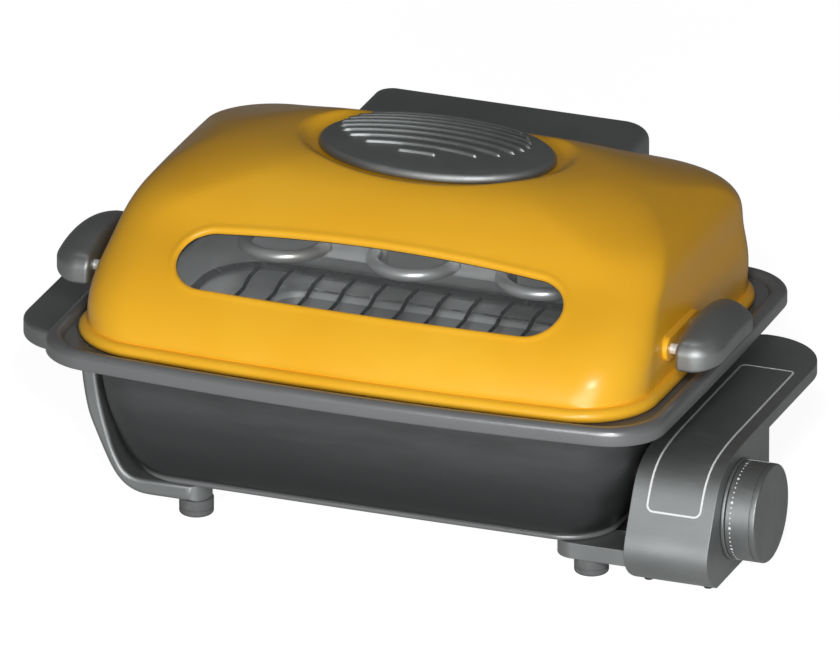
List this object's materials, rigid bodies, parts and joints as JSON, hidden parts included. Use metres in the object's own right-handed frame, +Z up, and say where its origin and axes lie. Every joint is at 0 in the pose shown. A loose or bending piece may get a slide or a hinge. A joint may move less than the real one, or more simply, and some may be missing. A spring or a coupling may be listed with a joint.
{
  "type": "electric fish roaster",
  "caption": "Table-top electric fish roaster: a bowed pan on a stand with a side control housing and timer dial, under a hinged domed lid with a wide window, side handles and a vent cap.",
  "frame": {"origin": "middle of the footprint's bounding box on the worktop, with the lid shut", "axes": "+X to the right towards the control housing, the longest extent; +Y to the back, where the lid's hinge is; +Z up, the shortest extent"},
  "size_m": [0.4732, 0.297, 0.2085],
  "materials": {
    "enamel_yellow": "gloss enamel",
    "pan_coating": "satin non-stick coating",
    "dark_plastic": "fine moulded texture",
    "sheet_steel": "satin",
    "bright_chrome": "bright",
    "heater_sheath": "annealed",
    "rubber_black": "matte",
    "window_glass": "clear",
    "ceramic_white": "glazed",
    "shaft_brass": "turned"
  },
  "bodies": {
    "stand": {"outer_pan": "pan_coating", "lower_heater": "heater_sheath", "lower_heater_bracket_left": "sheet_steel", "lower_heater_bracket_right": "sheet_steel", "inner_tray": "sheet_steel", "hinge_bracket_left": "sheet_steel", "hinge_bracket_right": "sheet_steel", "hinge_pin_left": "bright_chrome", "hinge_pin_right": "bright_chrome", "hinge_bracket_screw_left": "sheet_steel", "hinge_bracket_screw_right": "sheet_steel", "left_stand": "dark_plastic", "foot_front_left": "rubber_black", "foot_front_right": "rubber_black", "foot_rear_left": "rubber_black", "foot_rear_right": "rubber_black", "control_housing": "dark_plastic", "housing_cover": "dark_plastic", "cover_screw_1": "sheet_steel", "cover_screw_2": "sheet_steel", "cover_screw_3": "sheet_steel", "cover_screw_4": "sheet_steel", "base_plate": "sheet_steel", "base_screw_front_left": "sheet_steel", "base_screw_rear_left": "sheet_steel", "base_screw_front_right": "sheet_steel", "base_screw_rear_right": "sheet_steel", "heat_shield": "sheet_steel", "terminal_block": "ceramic_white", "timer_body": "sheet_steel", "power_inlet": "dark_plastic", "dial_bezel": "dark_plastic"},
    "rack": {"rack": "bright_chrome"},
    "knob": {"knob": "dark_plastic", "knob_face": "dark_plastic", "knob_shaft": "shaft_brass"},
    "lid": {"lid_shell": "enamel_yellow", "window_gasket": "rubber_black", "window_glass": "window_glass", "lid_liner": "sheet_steel", "upper_heater": "heater_sheath", "heater_hanger_left": "sheet_steel", "heater_hanger_right": "sheet_steel", "vent_filter": "sheet_steel", "lid_handle_left": "dark_plastic", "handle_post_front_left": "bright_chrome", "handle_post_rear_left": "bright_chrome", "lid_handle_right": "dark_plastic", "handle_post_front_right": "bright_chrome", "handle_post_rear_right": "bright_chrome", "rear_housing": "dark_plastic", "rear_housing_cover": "dark_plastic", "upper_terminal_block": "ceramic_white", "hinge_arm_left": "sheet_steel", "hinge_arm_right": "sheet_steel", "hinge_arm_screw_left": "sheet_steel", "hinge_arm_screw_right": "sheet_steel"},
    "vent_cap": {"vent_cap": "dark_plastic"}
  },
  "joints": [
    {"name": "lid_hinge", "type": "hinge", "parent": "stand", "child": "lid", "pos_m": [-0.00455, 0.1415, 0.108], "axis": [-1, 0, 0], "range_deg": [0, 80]},
    {"name": "timer_turn", "type": "hinge", "parent": "stand", "child": "knob", "pos_m": [0.22745, -0.0595, 0.041], "axis": [-1, 0, 0], "range_deg": [0, 300]},
    {"name": "vent_cap_lift", "type": "slide", "parent": "lid", "child": "vent_cap", "axis": [0, 0, 1], "range_m": [0, 0.03]},
    {"name": "rack_lift", "type": "slide", "parent": "stand", "child": "rack", "axis": [0, 0, 1], "range_m": [0, 0.04]}
  ]
}
